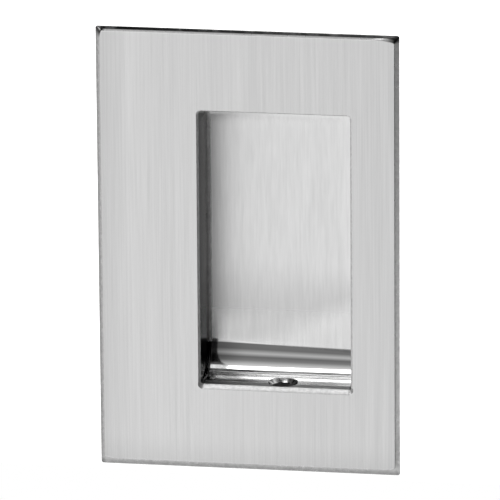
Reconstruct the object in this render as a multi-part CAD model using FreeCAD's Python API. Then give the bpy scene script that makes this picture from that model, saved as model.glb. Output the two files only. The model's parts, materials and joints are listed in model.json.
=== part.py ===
import FreeCAD, Part
import math
import os

# Pocket door pull, in millimetres. +X is to the right as seen from the room, +Y points into the door and
# +Z is up. The origin is the middle of the plate on the surface of the door, so the plate stands out of
# the door on the -Y side and the recess goes into it on the +Y side.

# Face plate: flat sheet with four ground edges
plate_width = 101.6
plate_height = 152.4
plate_thickness = 2.0
plate_corner_radius = 0.8
bevel_depth = 1.5
bevel_side = 1.5
bevel_top = 1.1
bevel_bottom = 2.2
face_corner_radius = 2.0

# Finger recess: clear size between the cup's walls, its depth from the front of the plate and how far its
# middle lies to the right of and above the middle of the plate. Each end turns into the back in a cove of
# two radii, the tighter one at the foot, with a short flat between them that slopes by foot_slope degrees
recess_width = 50.8
recess_height = 95.0
recess_depth = 19.2
recess_shift = 9.0
recess_rise = 0.9
cove_radius = 10.0
foot_radius = 5.5
foot_flat = 1.4
foot_slope = 45.0
side_radius = 0.7
lip_radius = 1.2
cup_wall = 3.0

# Countersunk screw holes in the cup's floor and ceiling: the distance of their common axis from the front
# of the plate and from the middle of the recess
screw_hole_diameter = 7.4
countersink_diameter = 10.0
countersink_angle = 82.0
screw_setback = 6.7
screw_shift = 1.5

# Clearance between the cup and the edge of the plate's cut-out, closed by the weld
weld_gap = 0.0

# How far cutting shapes run past the surfaces they cut
overrun = 5.0

front = -plate_thickness
recess_back = front + recess_depth
half_width = plate_width / 2
half_height = plate_height / 2


def rounded_rectangle(x0, x1, z0, z1, radius, y):
    """Closed wire in the plane at y, counted from the lower left straight edge."""
    k = radius * (1 - math.sqrt(0.5))

    def point(x, z):
        return FreeCAD.Vector(x, y, z)

    edges = [
        Part.makeLine(point(x0 + radius, z0), point(x1 - radius, z0)),
        Part.Arc(point(x1 - radius, z0), point(x1 - k, z0 + k), point(x1, z0 + radius)).toShape(),
        Part.makeLine(point(x1, z0 + radius), point(x1, z1 - radius)),
        Part.Arc(point(x1, z1 - radius), point(x1 - k, z1 - k), point(x1 - radius, z1)).toShape(),
        Part.makeLine(point(x1 - radius, z1), point(x0 + radius, z1)),
        Part.Arc(point(x0 + radius, z1), point(x0 + k, z1 - k), point(x0, z1 - radius)).toShape(),
        Part.makeLine(point(x0, z1 - radius), point(x0, z0 + radius)),
        Part.Arc(point(x0, z0 + radius), point(x0 + k, z0 + k), point(x0 + radius, z0)).toShape(),
    ]
    return Part.Wire(edges)


def coved_block(width, height, mouth, back, cove, foot, corner):
    """Solid whose side view is a rectangle with its two rear corners coved, rounded along both sides."""
    x0 = recess_shift - width / 2
    slope = math.radians(foot_slope)
    cove_middle = slope / 2
    foot_middle = (slope + math.pi / 2) / 2
    cove_end = back - cove * (1 - math.cos(slope))
    flat_end = cove_end - foot_flat * math.sin(slope)
    foot_centre = flat_end - foot * math.cos(slope)
    flat_low = foot * (1 - math.sin(slope))
    flat_high = flat_low + foot_flat * math.cos(slope)
    cove_top = flat_high + cove * math.sin(slope)

    def point(y, inset, end):
        return FreeCAD.Vector(x0, y, recess_rise + end * (height / 2 - inset))

    def end_curve(end):
        foot_arc = Part.Arc(
            point(foot_centre, 0, end),
            point(foot_centre + foot * math.cos(foot_middle), foot * (1 - math.sin(foot_middle)), end),
            point(flat_end, flat_low, end),
        )
        cove_arc = Part.Arc(
            point(cove_end, flat_high, end),
            point(back - cove * (1 - math.cos(cove_middle)), cove_top - cove * math.sin(cove_middle), end),
            point(back, cove_top, end),
        )
        return [
            Part.makeLine(point(mouth, 0, end), point(foot_centre, 0, end)),
            foot_arc.toShape(),
            Part.makeLine(point(flat_end, flat_low, end), point(cove_end, flat_high, end)),
            cove_arc.toShape(),
        ]

    back_line = Part.makeLine(point(back, cove_top, -1), point(back, cove_top, 1))
    mouth_line = Part.makeLine(point(mouth, 0, 1), point(mouth, 0, -1))
    outline = Part.Wire(end_curve(-1) + [back_line] + end_curve(1)[::-1] + [mouth_line])
    block = Part.Face(outline).extrude(FreeCAD.Vector(width, 0, 0))
    sides = []
    for edge in block.Edges:
        middle = edge.CenterOfMass
        on_side = abs(abs(middle.x - recess_shift) - width / 2) < 1e-6
        if on_side and middle.y > mouth + 1e-6:
            sides.append(edge)
    return block.makeFillet(corner, sides)


# Face plate: the sheet behind the bevels, the bevelled front, then the cut-out for the cup
outer_edge = (-half_width, half_width, -half_height, half_height, plate_corner_radius)
face_edge = (
    -half_width + bevel_side,
    half_width - bevel_side,
    -half_height + bevel_bottom,
    half_height - bevel_top,
    face_corner_radius,
)
bevel_back = front + bevel_depth
bevelled_front = Part.makeLoft(
    [rounded_rectangle(*face_edge, front), rounded_rectangle(*outer_edge, bevel_back)], True, True
)
sheet = Part.Face(rounded_rectangle(*outer_edge, bevel_back)).extrude(FreeCAD.Vector(0, -bevel_back, 0))
cut_out_half_width = recess_width / 2 + cup_wall + weld_gap
cut_out_half_height = recess_height / 2 + cup_wall + weld_gap
cut_out = Part.Face(
    rounded_rectangle(
        recess_shift - cut_out_half_width,
        recess_shift + cut_out_half_width,
        recess_rise - cut_out_half_height,
        recess_rise + cut_out_half_height,
        side_radius + cup_wall + weld_gap,
        front - overrun,
    )
).extrude(FreeCAD.Vector(0, plate_thickness + 2 * overrun, 0))
face_plate = bevelled_front.fuse(sheet).removeSplitter().cut(cut_out)

# Recess cup: an even wall around the recess, open at the front and flush with the plate there
outside = coved_block(
    recess_width + 2 * cup_wall,
    recess_height + 2 * cup_wall,
    front,
    recess_back + cup_wall,
    cove_radius + cup_wall,
    foot_radius + cup_wall,
    side_radius + cup_wall,
)
inside = coved_block(
    recess_width, recess_height, front - overrun, recess_back, cove_radius, foot_radius, side_radius
)
recess_cup = outside.cut(inside)

# Lip: the inner edge of the mouth is rounded over
lip = []
for edge in recess_cup.Edges:
    box = edge.BoundBox
    in_front_plane = abs(box.YMin - front) < 1e-6 and abs(box.YMax - front) < 1e-6
    within_width = max(abs(box.XMin - recess_shift), abs(box.XMax - recess_shift)) < recess_width / 2 + 1e-3
    within_height = max(abs(box.ZMin - recess_rise), abs(box.ZMax - recess_rise)) < recess_height / 2 + 1e-3
    if in_front_plane and within_width and within_height:
        lip.append(edge)
recess_cup = recess_cup.makeFillet(lip_radius, lip)

# Screw holes: a countersink from inside the recess and a short straight hole through the rest of the wall
sink_slope = math.tan(math.radians(countersink_angle / 2))
sink_depth = (countersink_diameter - screw_hole_diameter) / 2 / sink_slope
sink_top_radius = countersink_diameter / 2 + overrun * sink_slope
for side in (-1, 1):
    outward = FreeCAD.Vector(0, 0, side)
    centre = FreeCAD.Vector(
        recess_shift + screw_shift, front + screw_setback, recess_rise + side * recess_height / 2
    )
    start = centre - outward * overrun
    hole = Part.makeCylinder(screw_hole_diameter / 2, 2 * overrun, start, outward)
    sink = Part.makeCone(sink_top_radius, screw_hole_diameter / 2, overrun + sink_depth, start, outward)
    recess_cup = recess_cup.cut(hole.fuse(sink))

os.makedirs("parts", exist_ok=True)
face_plate.exportStep("parts/face_plate.step")
recess_cup.exportStep("parts/recess_cup.step")
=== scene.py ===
import json
import math

import bmesh
import bpy
from mathutils import Matrix, Vector


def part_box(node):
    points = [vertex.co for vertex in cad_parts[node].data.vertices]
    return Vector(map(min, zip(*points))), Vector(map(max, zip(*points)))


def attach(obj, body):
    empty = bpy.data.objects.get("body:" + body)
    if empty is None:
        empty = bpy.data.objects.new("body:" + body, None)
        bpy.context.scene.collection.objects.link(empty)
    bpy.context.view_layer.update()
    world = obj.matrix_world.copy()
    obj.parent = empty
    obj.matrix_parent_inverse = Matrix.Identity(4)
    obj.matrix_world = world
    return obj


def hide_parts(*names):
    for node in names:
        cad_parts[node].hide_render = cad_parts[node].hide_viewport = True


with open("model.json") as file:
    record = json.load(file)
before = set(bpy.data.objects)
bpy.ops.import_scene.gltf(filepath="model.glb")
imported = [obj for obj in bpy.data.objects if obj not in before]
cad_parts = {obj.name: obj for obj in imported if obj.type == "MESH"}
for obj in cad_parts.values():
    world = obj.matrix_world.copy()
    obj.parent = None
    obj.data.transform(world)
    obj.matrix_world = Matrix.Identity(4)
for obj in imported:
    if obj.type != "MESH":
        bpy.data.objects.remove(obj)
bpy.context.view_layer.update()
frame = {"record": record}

# Face plate: 2 mm stainless sheet, brushed up and down on a belt and ground to a bevel along its
# four edges by hand. The rectangular cut-out right of the middle takes the cup, which is welded
# in from behind and dressed flush, so no seam shows on the face.
mm = 0.001
plate_low, plate_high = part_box("face_plate")
plate_half_width, plate_back, plate_half_height = plate_high
plate_front = plate_low.y
plate_corner = 0.8 * mm
bevel_depth = 1.5 * mm
bevel_side = 1.5 * mm
bevel_top = 1.1 * mm
bevel_bottom = 2.2 * mm
bevel_back = plate_front + bevel_depth
# Width and height of the face's ground corners: lower right, upper right, upper left and lower left
face_corners = [(4 * mm, 1.2 * mm), (9 * mm, 1.3 * mm), (0.9 * mm, 4 * mm), (7 * mm, 1 * mm)]
corner_steps = 8
buffed_edge = 0.12 * mm
ground_corner = 0.16 * mm
buffing_steps = 3
plate_sharp_angle = 40
cup_low, cup_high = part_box("recess_cup")
cup_wall = 3.0 * mm
floor_drop = 0.15 * mm
side_corner = 0.9 * mm
side_steps = 6
cut_out_bottom = cup_low.z - floor_drop
cut_out_corner = side_corner + cup_wall
uv_per_metre = 10


def rounded_outline(left, right, bottom, top, corners, steps):
    """Points (x, z) round a rectangle with quarter ovals for corners, starting at the lower right."""
    points = []
    for turn, (rx, rz) in enumerate(corners):
        cx = right - rx if turn < 2 else left + rx
        cz = top - rz if turn in (1, 2) else bottom + rz
        for step in range(steps + 1):
            angle = math.radians(90 * (turn - 1 + step / steps))
            points.append((cx + rx * math.cos(angle), cz + rz * math.sin(angle)))
    return points


def ring_at(bm, outline, y):
    """A closed ring of vertices and its edges, at depth y."""
    verts = [bm.verts.new((x, y, z)) for x, z in outline]
    edges = [bm.edges.new((a, b)) for a, b in zip(verts, verts[1:] + verts[:1])]
    return verts, edges


def wall_between(bm, near, far):
    """Quads from one ring of vertices to the next."""
    for i in range(len(near)):
        j = (i + 1) % len(near)
        bm.faces.new((near[i], near[j], far[j], far[i]))


def round_edges(bm, edges, radius, steps):
    """Edges rounded over in so many facets."""
    bmesh.ops.bevel(bm, geom=edges, offset=radius, segments=steps, profile=0.5, affect="EDGES")


def lay_grain(mesh):
    """UV with U across the grain and V along it, so that the brushed highlight spreads across."""
    uv = mesh.uv_layers.new(name="grain").data
    for face in mesh.polygons:
        nx, ny, nz = (abs(c) for c in face.normal)
        for loop in face.loop_indices:
            p = mesh.vertices[mesh.loops[loop].vertex_index].co
            across = p.y if nx > max(ny, nz) else p.x
            along = p.y if nz > max(nx, ny) else p.z
            uv[loop].uv = (across * uv_per_metre, along * uv_per_metre)


def piece_from(bm, name, sharp_angle=30):
    """A piece made from a finished bmesh, smooth shaded up to the sharp angle."""
    bmesh.ops.recalc_face_normals(bm, faces=bm.faces)
    mesh = bpy.data.meshes.new(name)
    bm.to_mesh(mesh)
    bm.free()
    mesh.shade_smooth()
    mesh.set_sharp_from_angle(angle=math.radians(sharp_angle))
    piece = bpy.data.objects.new(name, mesh)
    bpy.context.collection.objects.link(piece)
    return piece


def flat_first_normals(piece):
    """Flat faces keep their own normal and the rounded edges beside them do the turning."""
    weighted = piece.modifiers.new("flat_first", "WEIGHTED_NORMAL")
    weighted.mode = "FACE_AREA"
    weighted.weight = 100
    weighted.keep_sharp = True


face_line = rounded_outline(
    -plate_half_width + bevel_side,
    plate_half_width - bevel_side,
    -plate_half_height + bevel_bottom,
    plate_half_height - bevel_top,
    face_corners,
    corner_steps,
)
outer_line = rounded_outline(
    -plate_half_width,
    plate_half_width,
    -plate_half_height,
    plate_half_height,
    [(plate_corner, plate_corner)] * 4,
    corner_steps,
)
cut_out_line = rounded_outline(
    cup_low.x,
    cup_high.x,
    cut_out_bottom,
    cup_high.z,
    [(cut_out_corner, cut_out_corner)] * 4,
    side_steps,
)
bm = bmesh.new()
face_ring, face_edges = ring_at(bm, face_line, plate_front)
bevel_ring, bevel_edges = ring_at(bm, outer_line, bevel_back)
back_ring, back_edges = ring_at(bm, outer_line, plate_back)
cut_front, cut_front_edges = ring_at(bm, cut_out_line, plate_front)
cut_back, cut_back_edges = ring_at(bm, cut_out_line, plate_back)
wall_between(bm, face_ring, bevel_ring)
wall_between(bm, bevel_ring, back_ring)
wall_between(bm, cut_back, cut_front)
bmesh.ops.triangle_fill(bm, use_beauty=True, edges=face_edges + cut_front_edges)
bmesh.ops.triangle_fill(bm, use_beauty=True, edges=back_edges + cut_back_edges)
round_edges(bm, bevel_edges + back_edges, ground_corner, buffing_steps)
round_edges(bm, face_edges, buffed_edge, buffing_steps)
face_plate = piece_from(bm, "brushed_face_plate", plate_sharp_angle)
lay_grain(face_plate.data)
flat_first_normals(face_plate)

noise_range = (0.3, 0.7)
fine_share = 0.6
broad_share = 0.4
streak_swing = 0.06
fine_relief = 0.004 * mm


def node(tree, kind, **settings):
    """A shader node with its settings and its inputs set by name."""
    made = tree.nodes.new(kind)
    for key, value in settings.items():
        if key in made.inputs:
            made.inputs[key].default_value = value
        else:
            setattr(made, key, value)
    return made


def steel(name):
    """A new metal, with its node tree and its shader."""
    material = bpy.data.materials.new(name)
    material.use_nodes = True
    tree = material.node_tree
    metal = tree.nodes["Principled BSDF"]
    metal.inputs["Metallic"].default_value = 1.0
    return material, tree, metal


def feed(tree, socket, value):
    """A socket given a plain number or another node's output."""
    if isinstance(value, (int, float)):
        socket.default_value = value
    else:
        tree.links.new(value, socket)


def blend(tree, operation, first, second=0.0):
    """One value changed, or two put together, by a plain operation."""
    made = node(tree, "ShaderNodeMath", operation=operation)
    feed(tree, made.inputs[0], first)
    feed(tree, made.inputs[1], second)
    return made.outputs["Value"]


def total(tree, first, *others):
    """Values added up."""
    for value in others:
        first = blend(tree, "ADD", first, value)
    return first


def product(tree, first, *others):
    """Values multiplied together."""
    for value in others:
        first = blend(tree, "MULTIPLY", first, value)
    return first


def rest_of(tree, value):
    """What a value leaves of one."""
    return blend(tree, "SUBTRACT", 1, value)


def spread(tree, value, between, onto, ease="LINEAR"):
    """A value mapped from one range to another, and held at its ends."""
    mapped = node(tree, "ShaderNodeMapRange", interpolation_type=ease)
    for key, number in zip(("From Min", "From Max", "To Min", "To Max"), (*between, *onto)):
        mapped.inputs[key].default_value = number
    tree.links.new(value, mapped.inputs["Value"])
    return mapped.outputs["Result"]


def place_and_axes(tree):
    """The place on the piece, whole and along each axis."""
    place = node(tree, "ShaderNodeTexCoord").outputs["Object"]
    axes = node(tree, "ShaderNodeSeparateXYZ")
    tree.links.new(place, axes.inputs["Vector"])
    return place, axes.outputs["X"], axes.outputs["Y"], axes.outputs["Z"]


def grain_noise(tree, place, across, along, detail=2.0):
    """Noise drawn out up and down: so many streaks a metre across the grain and along it."""
    stretch = node(tree, "ShaderNodeMapping", Scale=(across, across, along))
    tree.links.new(place, stretch.inputs["Vector"])
    noise = node(tree, "ShaderNodeTexNoise", Scale=1.0, Detail=detail, Roughness=0.6)
    tree.links.new(stretch.outputs["Vector"], noise.inputs["Vector"])
    return noise.outputs["Fac"]


def streaked(tree, fine, broad, grey):
    """A grey that changes with the fine and the broad streaks of the grain."""
    streaks = total(tree, product(tree, fine, fine_share), product(tree, broad, broad_share))
    return spread(tree, streaks, noise_range, (grey - streak_swing, grey + streak_swing))


def set_grain(tree, metal):
    """The highlight spreads across the grain laid in the UV map."""
    across_grain = node(tree, "ShaderNodeTangent", direction_type="UV_MAP", uv_map="grain")
    tree.links.new(across_grain.outputs["Tangent"], metal.inputs["Tangent"])


def set_grey(tree, metal, value):
    """A grey worked out by nodes as the metal's colour."""
    grey = node(tree, "ShaderNodeCombineColor")
    for channel in ("Red", "Green", "Blue"):
        tree.links.new(value, grey.inputs[channel])
    tree.links.new(grey.outputs["Color"], metal.inputs["Base Color"])


def set_bump(tree, metal, value, depth):
    """Shallow relief from a value, its full range this many metres deep."""
    relief = node(tree, "ShaderNodeBump", Strength=1.0, Distance=depth)
    tree.links.new(value, relief.inputs["Height"])
    tree.links.new(relief.outputs["Normal"], metal.inputs["Normal"])


# Painted shade darkens the brushed face towards its left edge and its foot, and a painted highlight runs
# along its top.
face_grey = 0.77
face_roughness = (0.28, 0.34)
edge_painted_shade = 0.9
left_painted_shade_end = -38 * mm
foot_painted_shade_end = -64 * mm
top_painted_highlight_band = (74.5 * mm, 75.0 * mm)
top_painted_highlight_gain = 1.2
brushed, tree, metal = steel("brushed_stainless_face")
metal.inputs["Anisotropic"].default_value = 0.7
set_grain(tree, metal)
place, x, y, z = place_and_axes(tree)
fine = grain_noise(tree, place, across=1600, along=26)
broad = grain_noise(tree, place, across=420, along=7)
# Painted shade towards the left edge and the foot, and a painted highlight along the top of the face
face_left_painted_shade = spread(tree, x, (-plate_half_width, left_painted_shade_end), (edge_painted_shade, 1), "SMOOTHSTEP")
face_foot_painted_shade = spread(tree, z, (-plate_half_height, foot_painted_shade_end), (edge_painted_shade, 1), "SMOOTHSTEP")
face_top_painted_highlight = spread(tree, z, top_painted_highlight_band, (1, top_painted_highlight_gain))
face_edge_shade_and_highlight = product(tree, face_left_painted_shade, face_foot_painted_shade, face_top_painted_highlight)
set_grey(tree, metal, product(tree, streaked(tree, fine, broad, face_grey), face_edge_shade_and_highlight))
tree.links.new(spread(tree, broad, noise_range, face_roughness), metal.inputs["Roughness"])
set_bump(tree, metal, fine, fine_relief)

# Each ground edge has painted light and shade of its own. The left edge and the foot are painted darker. The
# right one is painted lighter, less so towards the top, and darker at the foot. The top one has a painted
# highlight along the face and painted shade behind it, with marks, and painted shade at its corners.
ground_grey = (0.34, 0.44)
ground_roughness = (0.36, 0.26)
left_bevel = (-50 * mm, -49 * mm)
left_bevel_painted_shade = 0.55
right_bevel = (49 * mm, 50 * mm)
right_bevel_painted_light = 0.6
right_painted_light_top = 72 * mm
right_foot = (-74 * mm, -56 * mm)
right_foot_painted_shade = 0.75
foot_bevel = (-75 * mm, -74 * mm)
foot_bevel_painted_shade = 0.78
top_bevel = (73.6 * mm, 74.4 * mm)
top_bevel_ends = (48.6 * mm, 49.4 * mm)
top_rim = 0.2 * mm
top_highlight_start = (-48.4 * mm, -47.4 * mm)
top_highlight_depth = (0.05, 0.5)
top_front_painted_highlight = 2.2
top_back_painted_shade = (0.01, 0.35)
top_mark_range = (0.5, 0.7)
top_mark_tone = 0.5
top_corner_painted_shade = (0.4, 0.8)
ground, tree, metal = steel("ground_edge")
metal.inputs["Anisotropic"].default_value = 0.3
set_grain(tree, metal)
place, x, y, z = place_and_axes(tree)
scratches = grain_noise(tree, place, across=700, along=700, detail=3.0)
marks = grain_noise(tree, place, across=260, along=260, detail=3.0)
plate_width = (-plate_half_width, plate_half_width)
# Painted shade on the left and foot edges; on the right edge a painted highlight that fades towards the top
# and turns to painted shade at the foot
left_edge_shade = spread(tree, x, left_bevel, (left_bevel_painted_shade, 1))
foot_edge_shade = spread(tree, z, foot_bevel, (foot_bevel_painted_shade, 1))
right_edge_light = spread(tree, z, (0, right_painted_light_top), (right_bevel_painted_light, 0))
right_edge_foot_shade = spread(tree, z, right_foot, (right_foot_painted_shade, 0), "SMOOTHSTEP")
right_edge_light_less_shade = blend(tree, "SUBTRACT", right_edge_light, right_edge_foot_shade)
right_edge_light_and_shade = total(tree, product(tree, spread(tree, x, right_bevel, (0, 1)), right_edge_light_less_shade), 1)
# The top edge: a painted highlight along the face, painted shade behind it, lighter towards the right and
# marked with scratches, and painted shade at its corners
at_top = spread(tree, z, top_bevel, (0, 1))
off_corner = spread(tree, blend(tree, "ABSOLUTE", x), top_bevel_ends, (1, 0))
top_depth = spread(tree, y, (plate_front + top_rim, bevel_back - top_rim), (0, 1))
top_front_highlight = spread(tree, top_depth, top_highlight_depth, (top_front_painted_highlight, 0), "SMOOTHSTEP")
top_front_highlight = product(tree, top_front_highlight, spread(tree, x, top_highlight_start, (0, 1)))
top_marks = spread(tree, marks, top_mark_range, (0, top_mark_tone))
top_back_shade_and_marks = product(tree, top_depth, total(tree, spread(tree, x, plate_width, top_back_painted_shade), top_marks))
top_edge_light_and_shade_part = product(tree, at_top, off_corner, rest_of(tree, total(tree, top_front_highlight, top_back_shade_and_marks)))
top_corner_shade = product(tree, at_top, rest_of(tree, off_corner), spread(tree, x, plate_width, top_corner_painted_shade))
top_edge_light_and_shade = rest_of(tree, total(tree, top_edge_light_and_shade_part, top_corner_shade))
scratch_grey = spread(tree, scratches, noise_range, ground_grey)
set_grey(tree, metal, product(tree, scratch_grey, left_edge_shade, right_edge_light_and_shade, foot_edge_shade, top_edge_light_and_shade))
tree.links.new(spread(tree, scratches, noise_range, ground_roughness), metal.inputs["Roughness"])
set_bump(tree, metal, scratches, fine_relief)

front_facing = -0.97
back_facing = 0.9
face_plate_finishes = [brushed, ground]
for material in face_plate_finishes:
    face_plate.data.materials.append(material)
for face in face_plate.data.polygons:
    if front_facing < face.normal.y < back_facing:
        face.material_index = face_plate_finishes.index(ground)
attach(face_plate, "root")
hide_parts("face_plate")

# Recess cup: 3 mm stainless sheet pressed to a box and welded into the plate's cut-out, with a wide cove at
# both ends, the lower one a little narrower at the right. The back is brushed like the face, the floor, the
# ceiling and their coves are polished bright, and each end has a countersunk screw hole.
recess_left = cup_low.x + cup_wall
recess_right = cup_high.x - cup_wall
recess_floor = cut_out_bottom + cup_wall
recess_ceiling = cup_high.z - cup_wall
recess_back = cup_high.y - cup_wall
ceiling_cove = 11.5 * mm
floor_cove_left = 12.0 * mm
floor_cove_right = 10.2 * mm
cove_steps = 32
foot_radius = 4.5 * mm
foot_flat = 1.1 * mm
foot_slope = math.radians(45)
foot_steps = 24
bottom_lip = 2.1 * mm
side_lip = 0.3 * mm
lip_steps = 8
lip_profile = 0.28
cup_sharp_angle = 30
touching = 0.001 * mm


def end_curve(cove):
    """Points (depth, rise) from the flat of the floor or ceiling round into the back."""
    flat_low = foot_radius * (1 - math.sin(foot_slope))
    flat_high = flat_low + foot_flat * math.cos(foot_slope)
    cove_top = flat_high + cove * math.sin(foot_slope)
    cove_end = recess_back - cove * (1 - math.cos(foot_slope))
    foot_centre = cove_end - foot_flat * math.sin(foot_slope) - foot_radius * math.cos(foot_slope)
    points = []
    for step in range(foot_steps + 1):
        swing = math.radians(90) + (foot_slope - math.radians(90)) * step / foot_steps
        points.append((foot_centre + foot_radius * math.cos(swing), foot_radius * (1 - math.sin(swing))))
    for step in range(cove_steps + 1):
        swing = foot_slope * (1 - step / cove_steps)
        points.append((recess_back - cove * (1 - math.cos(swing)), cove_top - cove * math.sin(swing)))
    return points


def side_line(bm, x, floor_cove):
    """The cup's side view as a line of vertices at x, from the mouth's foot round to its top."""
    profile = [(plate_front, recess_floor)]
    profile += [(y, recess_floor + rise) for y, rise in end_curve(floor_cove)]
    profile += [(y, recess_ceiling - rise) for y, rise in reversed(end_curve(ceiling_cove))]
    profile.append((plate_front, recess_ceiling))
    return [bm.verts.new((x, y, z)) for y, z in profile]


bm = bmesh.new()
left_line = side_line(bm, recess_left, floor_cove_left)
right_line = side_line(bm, recess_right, floor_cove_right)
side_edges = []
for i in range(len(left_line) - 1):
    face = bm.faces.new((left_line[i], left_line[i + 1], right_line[i + 1], right_line[i]))
    for edge in face.edges:
        if edge.verts[0].co.x == edge.verts[1].co.x:
            side_edges.append(edge)
bm.faces.new(left_line)
bm.faces.new(right_line)
bmesh.ops.recalc_face_normals(bm, faces=bm.faces)
round_edges(bm, side_edges, side_corner, side_steps)
cup_inside = piece_from(bm, "cup_inside", cup_sharp_angle)
thickness = cup_inside.modifiers.new("sheet", "SOLIDIFY")
thickness.thickness = cup_wall
thickness.offset = 1
thickness.use_even_offset = True
graph = bpy.context.evaluated_depsgraph_get()
pressed_sheet = bpy.data.meshes.new_from_object(cup_inside.evaluated_get(graph))
bpy.data.objects.remove(cup_inside)

# The lip is rounded over further along the floor, where the fingers pull, than at the sides and the top.
bm = bmesh.new()
bm.from_mesh(pressed_sheet)
lip_weight = bm.edges.layers.float.new("bevel_weight_edge")
for edge in bm.edges:
    in_front = all(abs(v.co.y - plate_front) < touching for v in edge.verts)
    on_recess = all(
        recess_left - touching < v.co.x < recess_right + touching
        and recess_floor - touching < v.co.z < recess_ceiling + touching
        for v in edge.verts
    )
    if in_front and on_recess:
        height = sum(v.co.z for v in edge.verts) / 2 - recess_floor
        share = min(height / side_corner, 1)
        edge[lip_weight] = (1 - share) + share * side_lip / bottom_lip
recess_cup = piece_from(bm, "polished_recess_cup", cup_sharp_angle)
rounding = recess_cup.modifiers.new("lip", "BEVEL")
rounding.limit_method = "WEIGHT"
rounding.offset_type = "OFFSET"
rounding.width = bottom_lip
rounding.segments = lip_steps
rounding.profile = lip_profile

# Both screw holes are countersunk from inside the recess, with the sharp edge of the countersink broken.
lower_screw = next(mount for mount in frame["record"]["mounts"] if mount["name"] == "lower_screw")
hole_x, hole_y = lower_screw["pos_m"][:2]
hole_radius = lower_screw["dims"]["r_mm"] * mm
hole_steps = 96
sink_radius = 5.0 * mm
sink_half_angle = math.radians(45)
sink_depth = (sink_radius - hole_radius) / math.tan(sink_half_angle)
edge_break = 0.25 * mm
break_overlap = 0.05 * mm
break_half_angle = math.radians(65)
break_slope = math.tan(break_half_angle)
break_depth = (edge_break + break_overlap) / break_slope
overrun = 1.0 * mm
drill_profile = [
    (sink_radius + edge_break + overrun * break_slope, -overrun),
    (sink_radius - break_overlap, break_depth),
    (hole_radius, sink_depth),
    (hole_radius, cup_wall + overrun),
]


def circle_at(bm, radius, z):
    """A ring of vertices round the axis of the screw holes."""
    swings = [2 * math.pi * step / hole_steps for step in range(hole_steps)]
    return [
        bm.verts.new((hole_x + radius * math.cos(swing), hole_y + radius * math.sin(swing), z))
        for swing in swings
    ]


bm = bmesh.new()
for side, inner_face in ((-1, recess_floor), (1, recess_ceiling)):
    rings = [circle_at(bm, radius, inner_face + side * depth) for radius, depth in drill_profile]
    for near, far in zip(rings, rings[1:]):
        wall_between(bm, near, far)
    bm.faces.new(rings[0])
    bm.faces.new(rings[-1])
drill = piece_from(bm, "countersink_drill", cup_sharp_angle)
cut = recess_cup.modifiers.new("screw_holes", "BOOLEAN")
cut.operation = "DIFFERENCE"
cut.solver = "EXACT"
cut.object = drill
graph = bpy.context.evaluated_depsgraph_get()
cup_mesh = bpy.data.meshes.new_from_object(recess_cup.evaluated_get(graph))
recess_cup.modifiers.clear()
recess_cup.data = cup_mesh
bpy.data.objects.remove(drill)
cup_mesh.shade_smooth()
cup_mesh.set_sharp_from_angle(angle=math.radians(cup_sharp_angle))
lay_grain(cup_mesh)
flat_first_normals(recess_cup)


def mix(tree, share, first, second):
    """The first value where the share is 0, turning into the second where it is 1."""
    made = node(tree, "ShaderNodeMix", data_type="FLOAT")
    share_socket, _, first_socket, second_socket = made.inputs[:4]
    feed(tree, share_socket, share)
    feed(tree, first_socket, first)
    feed(tree, second_socket, second)
    return made.outputs[0]


# The polish ends in a soft line on the lower cove, lower at the right and higher towards the mouth, and
# begins again below the ceiling. In between the cup is brushed, and more finely low down.
polished_grey = 0.88
polished_roughness = 0.05
polish_top = -37.38 * mm
polish_tilt = 0.07
polish_rise = 0.3
polish_edge = 0.8 * mm
ceiling_polish = (43.6 * mm, 44.6 * mm)
back_grey = 0.88
back_roughness = (0.17, 0.28)
burnished_band = 2 * mm
burnished_gain = 1.08
finer_brushing = (-34 * mm, -24 * mm)
finer_tone = 0.82
wave_share = 0.4
polished, tree, metal = steel("polished_and_brushed_stainless_cup")
metal.inputs["Anisotropic"].default_value = 0.9
set_grain(tree, metal)
place, x, y, z = place_and_axes(tree)
from_back = blend(tree, "SUBTRACT", y, recess_back)
level = total(tree, z, product(tree, x, polish_tilt), product(tree, from_back, polish_rise))
polish_line = (polish_top - polish_edge / 2, polish_top + polish_edge / 2)
above_polish = spread(tree, level, polish_line, (0, 1), "SMOOTHSTEP")
is_brushed = product(tree, above_polish, spread(tree, z, ceiling_polish, (1, 0)))
is_polished = rest_of(tree, is_brushed)
fine = grain_noise(tree, place, across=1300, along=90)
broad = grain_noise(tree, place, across=350, along=30)
burnished = spread(tree, level, (polish_top, polish_top + burnished_band), (burnished_gain, 1))
finer = spread(tree, z, finer_brushing, (finer_tone, 1), "SMOOTHSTEP")
brushed_grey = product(tree, streaked(tree, fine, broad, back_grey), burnished, finer)
clean_grey = mix(tree, is_brushed, polished_grey, brushed_grey)
waves = product(tree, grain_noise(tree, place, across=90, along=90), wave_share, is_polished)
set_bump(tree, metal, total(tree, product(tree, fine, is_brushed), waves), fine_relief)

# The front of the shelf, as far as the middle of the screw hole, is satin, and painted shade darkens it so
# that it is not bright.
satin_end = (2.6 * mm, 4.0 * mm)
satin_painted_shade = 0.27
satin_roughness = 0.45
shelf_rise = (recess_floor + 0.2 * mm, recess_floor + 2 * mm)
behind_satin = spread(tree, y, satin_end, (0, 1), "SMOOTHSTEP")
bright_shelf = blend(tree, "MAXIMUM", behind_satin, spread(tree, z, shelf_rise, (0, 1)))
# Painted shade darkens the satin front of the shelf
shelf_painted_shade = spread(tree, bright_shelf, (0, 1), (satin_painted_shade, 1))
shelf_roughness = spread(tree, bright_shelf, (0, 1), (satin_roughness, polished_roughness))

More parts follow.
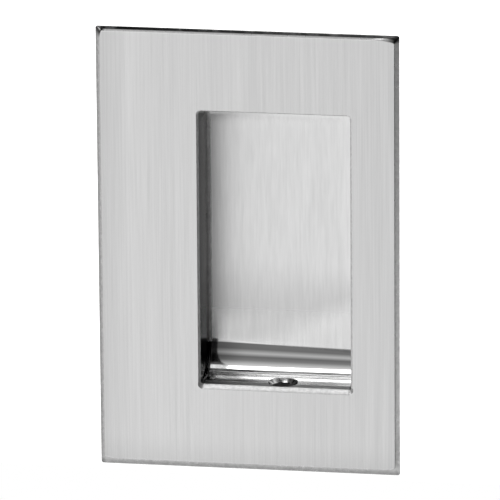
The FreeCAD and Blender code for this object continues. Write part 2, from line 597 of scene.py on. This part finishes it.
# Painted shade darkens the side walls towards the mouth and in the polished ends, and the walls are smoother
# than the back.
wall_painted_shade_range = (0.1, 1)
polished_wall_painted_shade = 0.12
wall_smoothness = 0.6
middle_x = (recess_left + recess_right) / 2
half_width = (recess_right - recess_left) / 2
wall_start = (half_width - 1.2 * side_corner, half_width - 0.8 * side_corner)
off_middle = blend(tree, "ABSOLUTE", blend(tree, "SUBTRACT", x, middle_x))
on_wall = spread(tree, off_middle, wall_start, (0, 1), "SMOOTHSTEP")
# Painted shade: darkest at the mouth and in the polished ends
wall_depth_shade = spread(tree, y, (plate_front, recess_back), wall_painted_shade_range)
wall_shade_grey = product(tree, wall_depth_shade, spread(tree, is_brushed, (0, 1), (polished_wall_painted_shade, 1)))
walls_painted_shade = mix(tree, on_wall, 1, wall_shade_grey)

# A handled patch dulls the lower part of the back, wider at the left than at the right.
smudge_upper = (-24 * mm, -6 * mm)
smudge_lower = (-44 * mm, -32 * mm)
smudge_slope = 0.5
smudge_patches = 0.3
smudge_range = (0.1, 1.1)
smudge_tone = 0.82
handled = grain_noise(tree, place, across=60, along=60)
above_smudge = spread(tree, z, smudge_upper, (0, 1), "SMOOTHSTEP")
smudge_line = blend(tree, "SUBTRACT", z, product(tree, x, smudge_slope))
below_smudge = spread(tree, smudge_line, smudge_lower, (1, 0), "SMOOTHSTEP")
clean = blend(tree, "MAXIMUM", above_smudge, below_smudge)
patchy = total(tree, clean, product(tree, handled, smudge_patches))
smudge = spread(tree, patchy, smudge_range, (smudge_tone, 1))

# Painted shade darkens the polished cove towards its left end and in a line along its foot.
cove_rise = (recess_floor + 2.4 * mm, recess_floor + 4 * mm)
cove_left_shade_span = (recess_left, -3 * mm)
cove_left_painted_shade = 0.5
foot_line = 12.3 * mm
foot_line_drift = 0.0102
foot_line_fade = (0.3 * mm, 0.9 * mm)
foot_line_painted_shade = 0.4
on_cove = spread(tree, z, cove_rise, (0, 1))
# Painted shade at the left end of the cove and along the foot line
cove_left_shade = spread(tree, x, cove_left_shade_span, (cove_left_painted_shade, 0), "SMOOTHSTEP")
cove_left_shade = product(tree, cove_left_shade, blend(tree, "SUBTRACT", on_cove, is_brushed))
foot_line_at = total(tree, product(tree, x, foot_line_drift), foot_line)
off_foot_line = blend(tree, "ABSOLUTE", blend(tree, "SUBTRACT", y, foot_line_at))
foot_line_shade = spread(tree, off_foot_line, foot_line_fade, (foot_line_painted_shade, 0), "SMOOTHSTEP")
foot_line_shade = product(tree, foot_line_shade, rest_of(tree, on_cove))
cove_painted_shade = rest_of(tree, total(tree, cove_left_shade, foot_line_shade))
set_grey(tree, metal, product(tree, clean_grey, shelf_painted_shade, walls_painted_shade, smudge, cove_painted_shade))
brushed_roughness = spread(tree, z, finer_brushing, back_roughness, "SMOOTHSTEP")
brushed_roughness = product(tree, brushed_roughness, spread(tree, on_wall, (0, 1), (1, wall_smoothness)))
tree.links.new(mix(tree, is_brushed, shelf_roughness, brushed_roughness), metal.inputs["Roughness"])


mottle_swing = 0.1


def uneven(name, spots, grey, roughness, relief):
    """Steel with a fine uneven tone, gloss and relief, so many spots a metre."""
    lighter, darker = 1 + mottle_swing, 1 - mottle_swing
    material, tree, metal = steel(name)
    place = node(tree, "ShaderNodeTexCoord").outputs["Object"]
    mottle = grain_noise(tree, place, across=spots, along=spots, detail=3.0)
    set_grey(tree, metal, spread(tree, mottle, noise_range, (grey * darker, grey * lighter)))
    gloss = spread(tree, mottle, noise_range, (roughness * lighter, roughness * darker))
    tree.links.new(gloss, metal.inputs["Roughness"])
    set_bump(tree, metal, mottle, relief)
    return material


# The side walls take the cup's steel with a grey specular tint that dims their reflections, as painted shade
side_wall = polished.copy()
side_wall.name = "side_walls_painted_dark"
wall_metal = side_wall.node_tree.nodes["Principled BSDF"]
wall_metal.inputs["Specular Tint"].default_value = (0.6, 0.6, 0.6, 1)
lip_spots = 900
lip_relief = 0.002 * mm
lip = uneven("rounded_lip", lip_spots, grey=0.82, roughness=0.38, relief=lip_relief)
# The right end of the bottom lip is painted darker, as painted shade that keeps a highlight off it
shaded_lip_end = uneven("lip_end_painted_dark", lip_spots, grey=0.45, roughness=0.45, relief=lip_relief)
side_edge = uneven("brushed_side_lip", lip_spots, grey=0.86, roughness=0.6, relief=lip_relief)
top_edge = uneven("brushed_top_lip", lip_spots, grey=0.64, roughness=0.6, relief=lip_relief)
inner_corner = uneven("brushed_inner_corner", lip_spots, grey=0.9, roughness=0.6, relief=lip_relief)
turned = uneven("turned_countersink", spots=1500, grey=0.7, roughness=0.12, relief=0.001 * mm)
turned_metal = turned.node_tree.nodes["Principled BSDF"]
turned_metal.inputs["Anisotropic"].default_value = 0.4
set_grain(turned.node_tree, turned_metal)
# The bore is painted near black, as painted shade for the dark inside the screw hole; its drilled finish is
# rough
bore_painted_black = uneven("drilled_bore_painted_black", spots=1500, grey=0.05, roughness=0.6, relief=0.004 * mm)
raw = uneven("mill_finish_outside", spots=300, grey=0.5, roughness=0.45, relief=0.006 * mm)

lip_end_reach = 1 * mm
inner_corner_reach = 4 * mm
raw_start = 2 * mm
# How far a face turns one way, as a share of its unit normal
barely_up = 0.01
barely_to_room = 0.02
leaning = 0.05
square = 0.95
flat_on = 0.999
corner_tilt = 0.75
bore_tilt = 0.1
sink_tilt = 0.8
break_tilt = 0.99


def cup_finish(face):
    """The finish of one face of the cup, told by where it lies and which way it faces."""
    middle, facing = face.center, face.normal
    across_recess = recess_left - touching < middle.x < recess_right + touching
    in_wall = middle.z < recess_floor - touching or middle.z > recess_ceiling + touching
    in_lip = middle.y < plate_front + bottom_lip
    from_hole = math.hypot(middle.x - hole_x, middle.y - hole_y)
    to_room = facing.y < -barely_to_room
    if facing.y < -flat_on and abs(middle.y - plate_front) < touching:
        return brushed
    if in_lip and to_room and abs(facing.x) > leaning:
        at_right = middle.x > recess_right - lip_end_reach
        at_floor = middle.z < recess_floor + lip_end_reach
        return shaded_lip_end if at_right and at_floor else side_edge
    if in_lip and middle.z < recess_floor - touching and facing.z > barely_up:
        return lip
    if middle.y < plate_front + side_lip and to_room and facing.z < -leaning:
        return top_edge
    in_corner = leaning < abs(facing.x) < square and abs(facing.z) < corner_tilt and facing.y < -leaning
    at_back = middle.y > recess_back - inner_corner_reach and middle.z > polish_top
    if in_corner and at_back and across_recess:
        return inner_corner
    if abs(facing.x) > square and across_recess:
        return side_wall
    if in_wall and from_hole < sink_radius and abs(facing.z) < sink_tilt:
        return bore_painted_black if abs(facing.z) < bore_tilt else turned
    if in_wall and from_hole < sink_radius + 2 * edge_break and abs(facing.z) < break_tilt:
        return polished
    outside = not across_recess or in_wall or facing.y > leaning
    return raw if outside and middle.y > plate_front + raw_start else polished


cup_finishes = [polished, brushed, turned, bore_painted_black, raw, lip]
cup_finishes += [side_edge, shaded_lip_end, side_wall, top_edge, inner_corner]
for material in cup_finishes:
    cup_mesh.materials.append(material)
uv = cup_mesh.uv_layers["grain"].data
for face in cup_mesh.polygons:
    finish = cup_finish(face)
    face.material_index = cup_finishes.index(finish)
    if finish == turned:
        for loop in face.loop_indices:
            p = cup_mesh.vertices[cup_mesh.loops[loop].vertex_index].co
            swing = math.atan2(p.y - hole_y, p.x - hole_x)
            reach = math.hypot(p.x - hole_x, p.y - hole_y)
            uv[loop].uv = (reach * uv_per_metre, swing * sink_radius * uv_per_metre)
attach(recess_cup, "root")
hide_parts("recess_cup")

# Floor: a white table top that the pull stands on, with its front edge just before the pull. It shows
# white to the camera and in the metal, and keeps a soft shadow.
table_left = -3.0
table_right = 0.25
table_front = -0.005
table_rear = 5.0
table_glow = 0.85


def add_panel(bm, corners):
    """One flat face through these corners."""
    bm.faces.new([bm.verts.new(corner) for corner in corners])


bm = bmesh.new()
add_panel(
    bm,
    [
        (table_left, table_front, plate_low.z),
        (table_right, table_front, plate_low.z),
        (table_right, table_rear, plate_low.z),
        (table_left, table_rear, plate_low.z),
    ],
)
floor = piece_from(bm, "white_table")
paper = bpy.data.materials.new("white_paper")
paper.use_nodes = True
tree = paper.node_tree
surface = tree.nodes["Principled BSDF"]
surface.inputs["Base Color"].default_value = (0.85, 0.85, 0.85, 1)
surface.inputs["Roughness"].default_value = 0.9
surface.inputs["Specular IOR Level"].default_value = 0.0
surface.inputs["Emission Color"].default_value = (1, 1, 1, 1)
rays = node(tree, "ShaderNodeLightPath").outputs
seen = blend(tree, "MAXIMUM", rays["Is Camera Ray"], rays["Is Glossy Ray"])
seen = blend(tree, "MAXIMUM", seen, rays["Is Transmission Ray"])
tree.links.new(product(tree, seen, table_glow), surface.inputs["Emission Strength"])
floor.data.materials.append(paper)

# Light: white below, and above it dim studio walls with a lighter band. One soft box stands high at the
# left, one behind the pull and a narrow one overhead. Two black panels, one at the right and one above, are
# hidden from the camera and only darken what the metal mirrors.
studio = bpy.data.worlds.new("studio")
bpy.context.scene.world = studio
studio.use_nodes = True
tree = studio.node_tree
sky = tree.nodes["Background"]
sky.inputs["Strength"].default_value = 1.0
way_axes = node(tree, "ShaderNodeSeparateXYZ")
tree.links.new(node(tree, "ShaderNodeTexCoord").outputs["Generated"], way_axes.inputs["Vector"])
rise = blend(tree, "ARCSINE", way_axes.outputs["Z"])
height = spread(tree, rise, (math.radians(-90), math.radians(90)), (0, 1))
# Elevation in degrees and the shade there
bands = [
    (-8.5, 1.0),
    (-5.5, 0.19),
    (12, 0.17),
    (26, 0.5),
    (38, 0.15),
    (50, 0.22),
    (67, 0.66),
    (84, 0.1),
]
shades = node(tree, "ShaderNodeValToRGB")
ramp = shades.color_ramp.elements
while len(ramp) < len(bands):
    ramp.new(0.5)
for stop, (elevation, shade) in zip(ramp, bands):
    stop.position = (elevation + 90) / 180
    stop.color = (shade, shade, shade, 1)
tree.links.new(height, shades.inputs["Fac"])
tree.links.new(shades.outputs["Color"], sky.inputs["Color"])

lamp_distance = 1.2


def soft_box(name, azimuth, elevation, width, height, radiance, slide=0.0):
    """A rectangular lamp that faces the pull, slid so far to the right of the line to it."""
    lamp = bpy.data.lights.new(name, "AREA")
    lamp.shape = "RECTANGLE"
    lamp.size = width
    lamp.size_y = height
    lamp.energy = radiance * math.pi * width * height
    a, e = math.radians(azimuth), math.radians(elevation)
    out = Vector((math.sin(a) * math.cos(e), -math.cos(a) * math.cos(e), math.sin(e)))
    box = bpy.data.objects.new(name, lamp)
    box.location = out * lamp_distance + Vector((slide, 0, 0))
    box.rotation_euler = out.to_track_quat("Z", "Y").to_euler()
    bpy.context.collection.objects.link(box)


soft_box("key_left", azimuth=-72, elevation=40, width=0.8, height=0.8, radiance=3.0)
soft_box("rim_behind", azimuth=165, elevation=52, width=0.9, height=0.5, radiance=4.0)
soft_box("top_strip", azimuth=-9, elevation=74.9, width=0.9, height=0.12, radiance=3.0, slide=-0.2192)

upper_panel_height = 1.3
upper_panel_left = 0.19
upper_panel_right = 1.2
upper_panel_front = -1.3
upper_panel_rear = 0.3
right_panel_bearing = math.radians(45)
right_panel_distance = 1.5
right_panel_half_width = 1.15
right_panel_half_height = 3.0
out = Vector((math.sin(right_panel_bearing), -math.cos(right_panel_bearing), 0)) * right_panel_distance
along = Vector((math.cos(right_panel_bearing), math.sin(right_panel_bearing), 0)) * right_panel_half_width
upward = Vector((0, 0, right_panel_half_height))
bm = bmesh.new()
add_panel(
    bm,
    [
        (upper_panel_left, upper_panel_front, upper_panel_height),
        (upper_panel_right, upper_panel_front, upper_panel_height),
        (upper_panel_right, upper_panel_rear, upper_panel_height),
        (upper_panel_left, upper_panel_rear, upper_panel_height),
    ],
)
add_panel(bm, [out - along - upward, out + along - upward, out + along + upward, out - along + upward])
flag = piece_from(bm, "black_flag")
felt = bpy.data.materials.new("black_felt")
felt.use_nodes = True
cloth = felt.node_tree.nodes["Principled BSDF"]
cloth.inputs["Base Color"].default_value = (0.01, 0.01, 0.01, 1)
cloth.inputs["Roughness"].default_value = 1.0
cloth.inputs["Specular IOR Level"].default_value = 0.0
flag.data.materials.append(felt)
flag.visible_camera = False
flag.visible_shadow = False

# Camera: a long lens well in front of the pull, above it and a little to its right, rolled by half a
# degree. The pull is in the middle of the picture, but for a pixel or so either way.
image_width = 500
pixels_per_metre = 3004.0
pixels_right = 1.2
pixels_up = 1.4
camera_distance = 2.5
camera_yaw = math.radians(9.20)
camera_pitch = math.radians(16.90)
camera_roll = math.radians(-0.45)
back = Vector(
    (
        math.sin(camera_yaw) * math.cos(camera_pitch),
        -math.cos(camera_yaw) * math.cos(camera_pitch),
        math.sin(camera_pitch),
    )
)
level_right = Vector((math.cos(camera_yaw), math.sin(camera_yaw), 0))
level_up = back.cross(level_right)
right = level_right * math.cos(camera_roll) + level_up * math.sin(camera_roll)
up = level_up * math.cos(camera_roll) - level_right * math.sin(camera_roll)
aim = (right * pixels_right + up * pixels_up) / pixels_per_metre
lens = bpy.data.cameras.new("long_lens")
lens.sensor_width = 36.0
lens.lens = pixels_per_metre * camera_distance / image_width * lens.sensor_width
lens.clip_end = 50
camera = bpy.data.objects.new("camera", lens)
bpy.context.collection.objects.link(camera)
turn = Matrix((right, up, back)).transposed().to_4x4()
camera.matrix_world = Matrix.Translation(back * camera_distance + aim) @ turn
bpy.context.scene.camera = camera
bpy.context.scene.view_settings.view_transform = "Standard"
